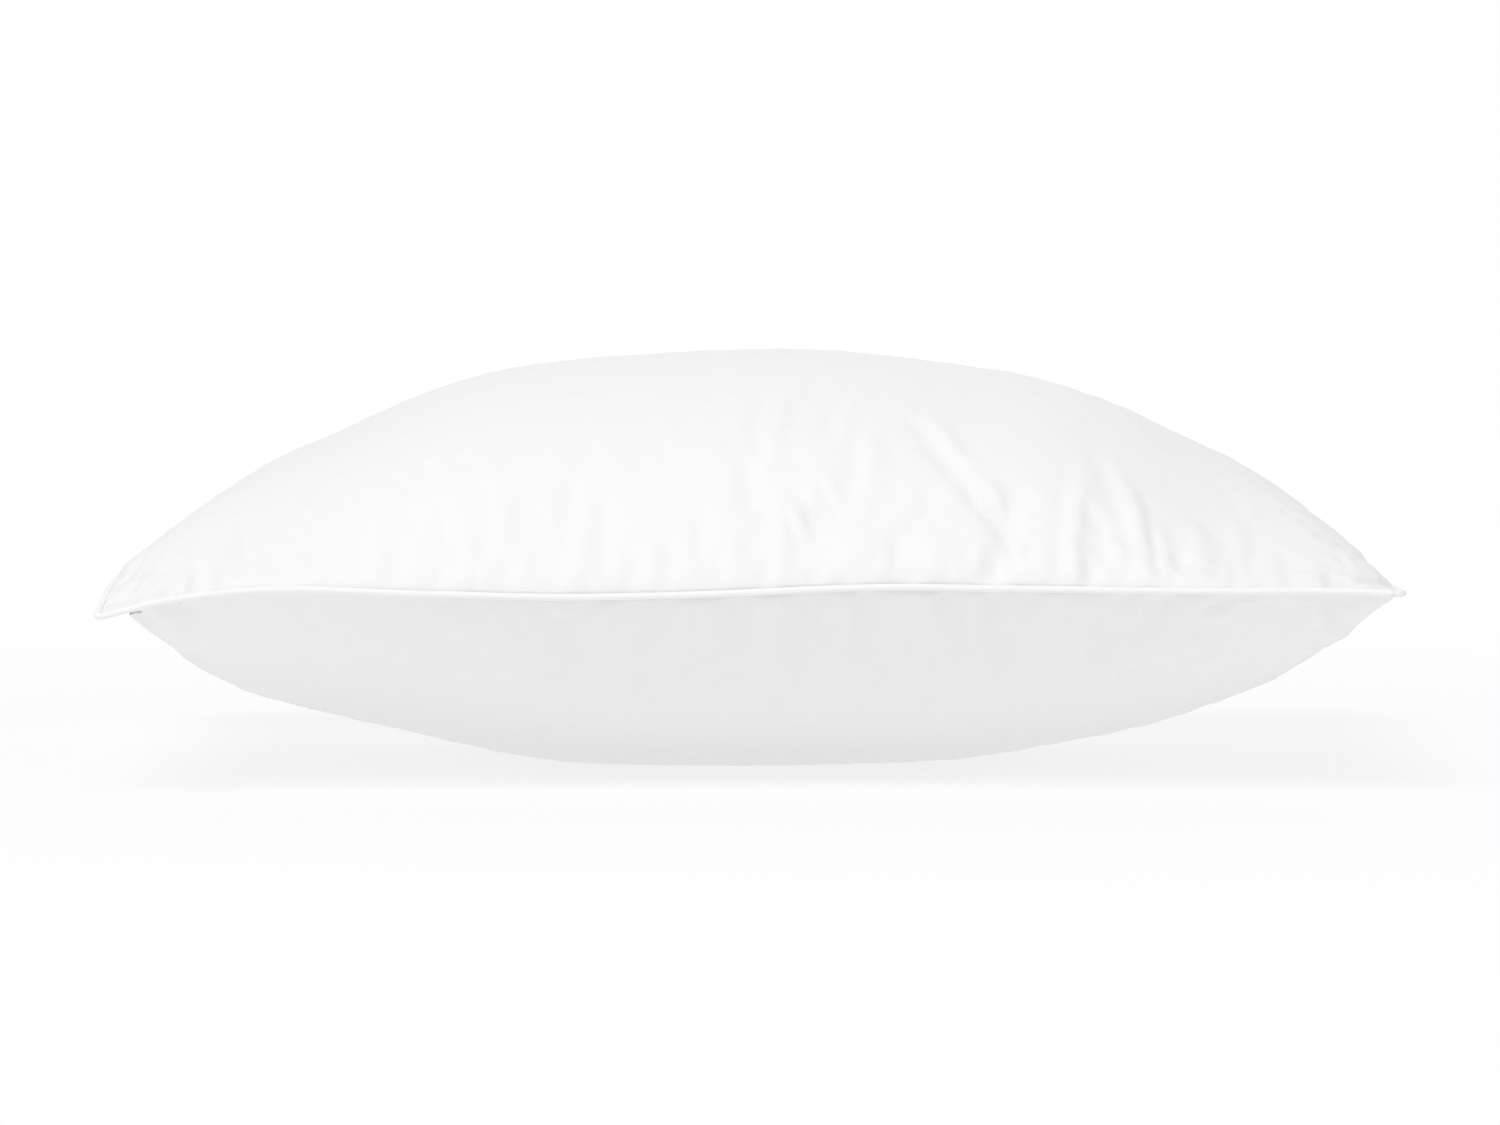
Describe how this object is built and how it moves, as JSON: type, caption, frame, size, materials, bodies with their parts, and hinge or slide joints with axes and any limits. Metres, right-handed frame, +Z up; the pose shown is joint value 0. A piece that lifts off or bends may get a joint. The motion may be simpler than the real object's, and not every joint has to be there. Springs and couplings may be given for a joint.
{
  "type": "bed pillow",
  "caption": "Rectangular cotton bed pillow with a high soft loft, pinched corner ears and a corded edge, sewn shut round a loose fibre fill.",
  "frame": {"origin": "on the surface the pillow lies on, under the middle of its outline", "axes": "+X along the long sides, +Z up through the crown, the front long side at -Y"},
  "size_m": [0.6356, 0.4904, 0.2085],
  "materials": {
    "ticking": "close white cotton weave with a faint sheen",
    "piping_cloth": "white cotton cut on the bias, drawn tight round the cord",
    "filler_cord": "soft twisted cotton cord",
    "fibre_fill": "loose white fibre",
    "sewing_thread": "white polyester thread",
    "label_satin": "blank white satin ribbon"
  },
  "bodies": {
    "root": {"top_panel": "ticking", "bottom_panel": "ticking", "piping_cover": "piping_cloth", "piping_cord": "filler_cord", "fill": "fibre_fill", "needle_thread": "sewing_thread", "bobbin_thread": "sewing_thread", "piping_thread": "sewing_thread", "closing_thread": "sewing_thread", "care_label": "label_satin"}
  },
  "joints": []
}
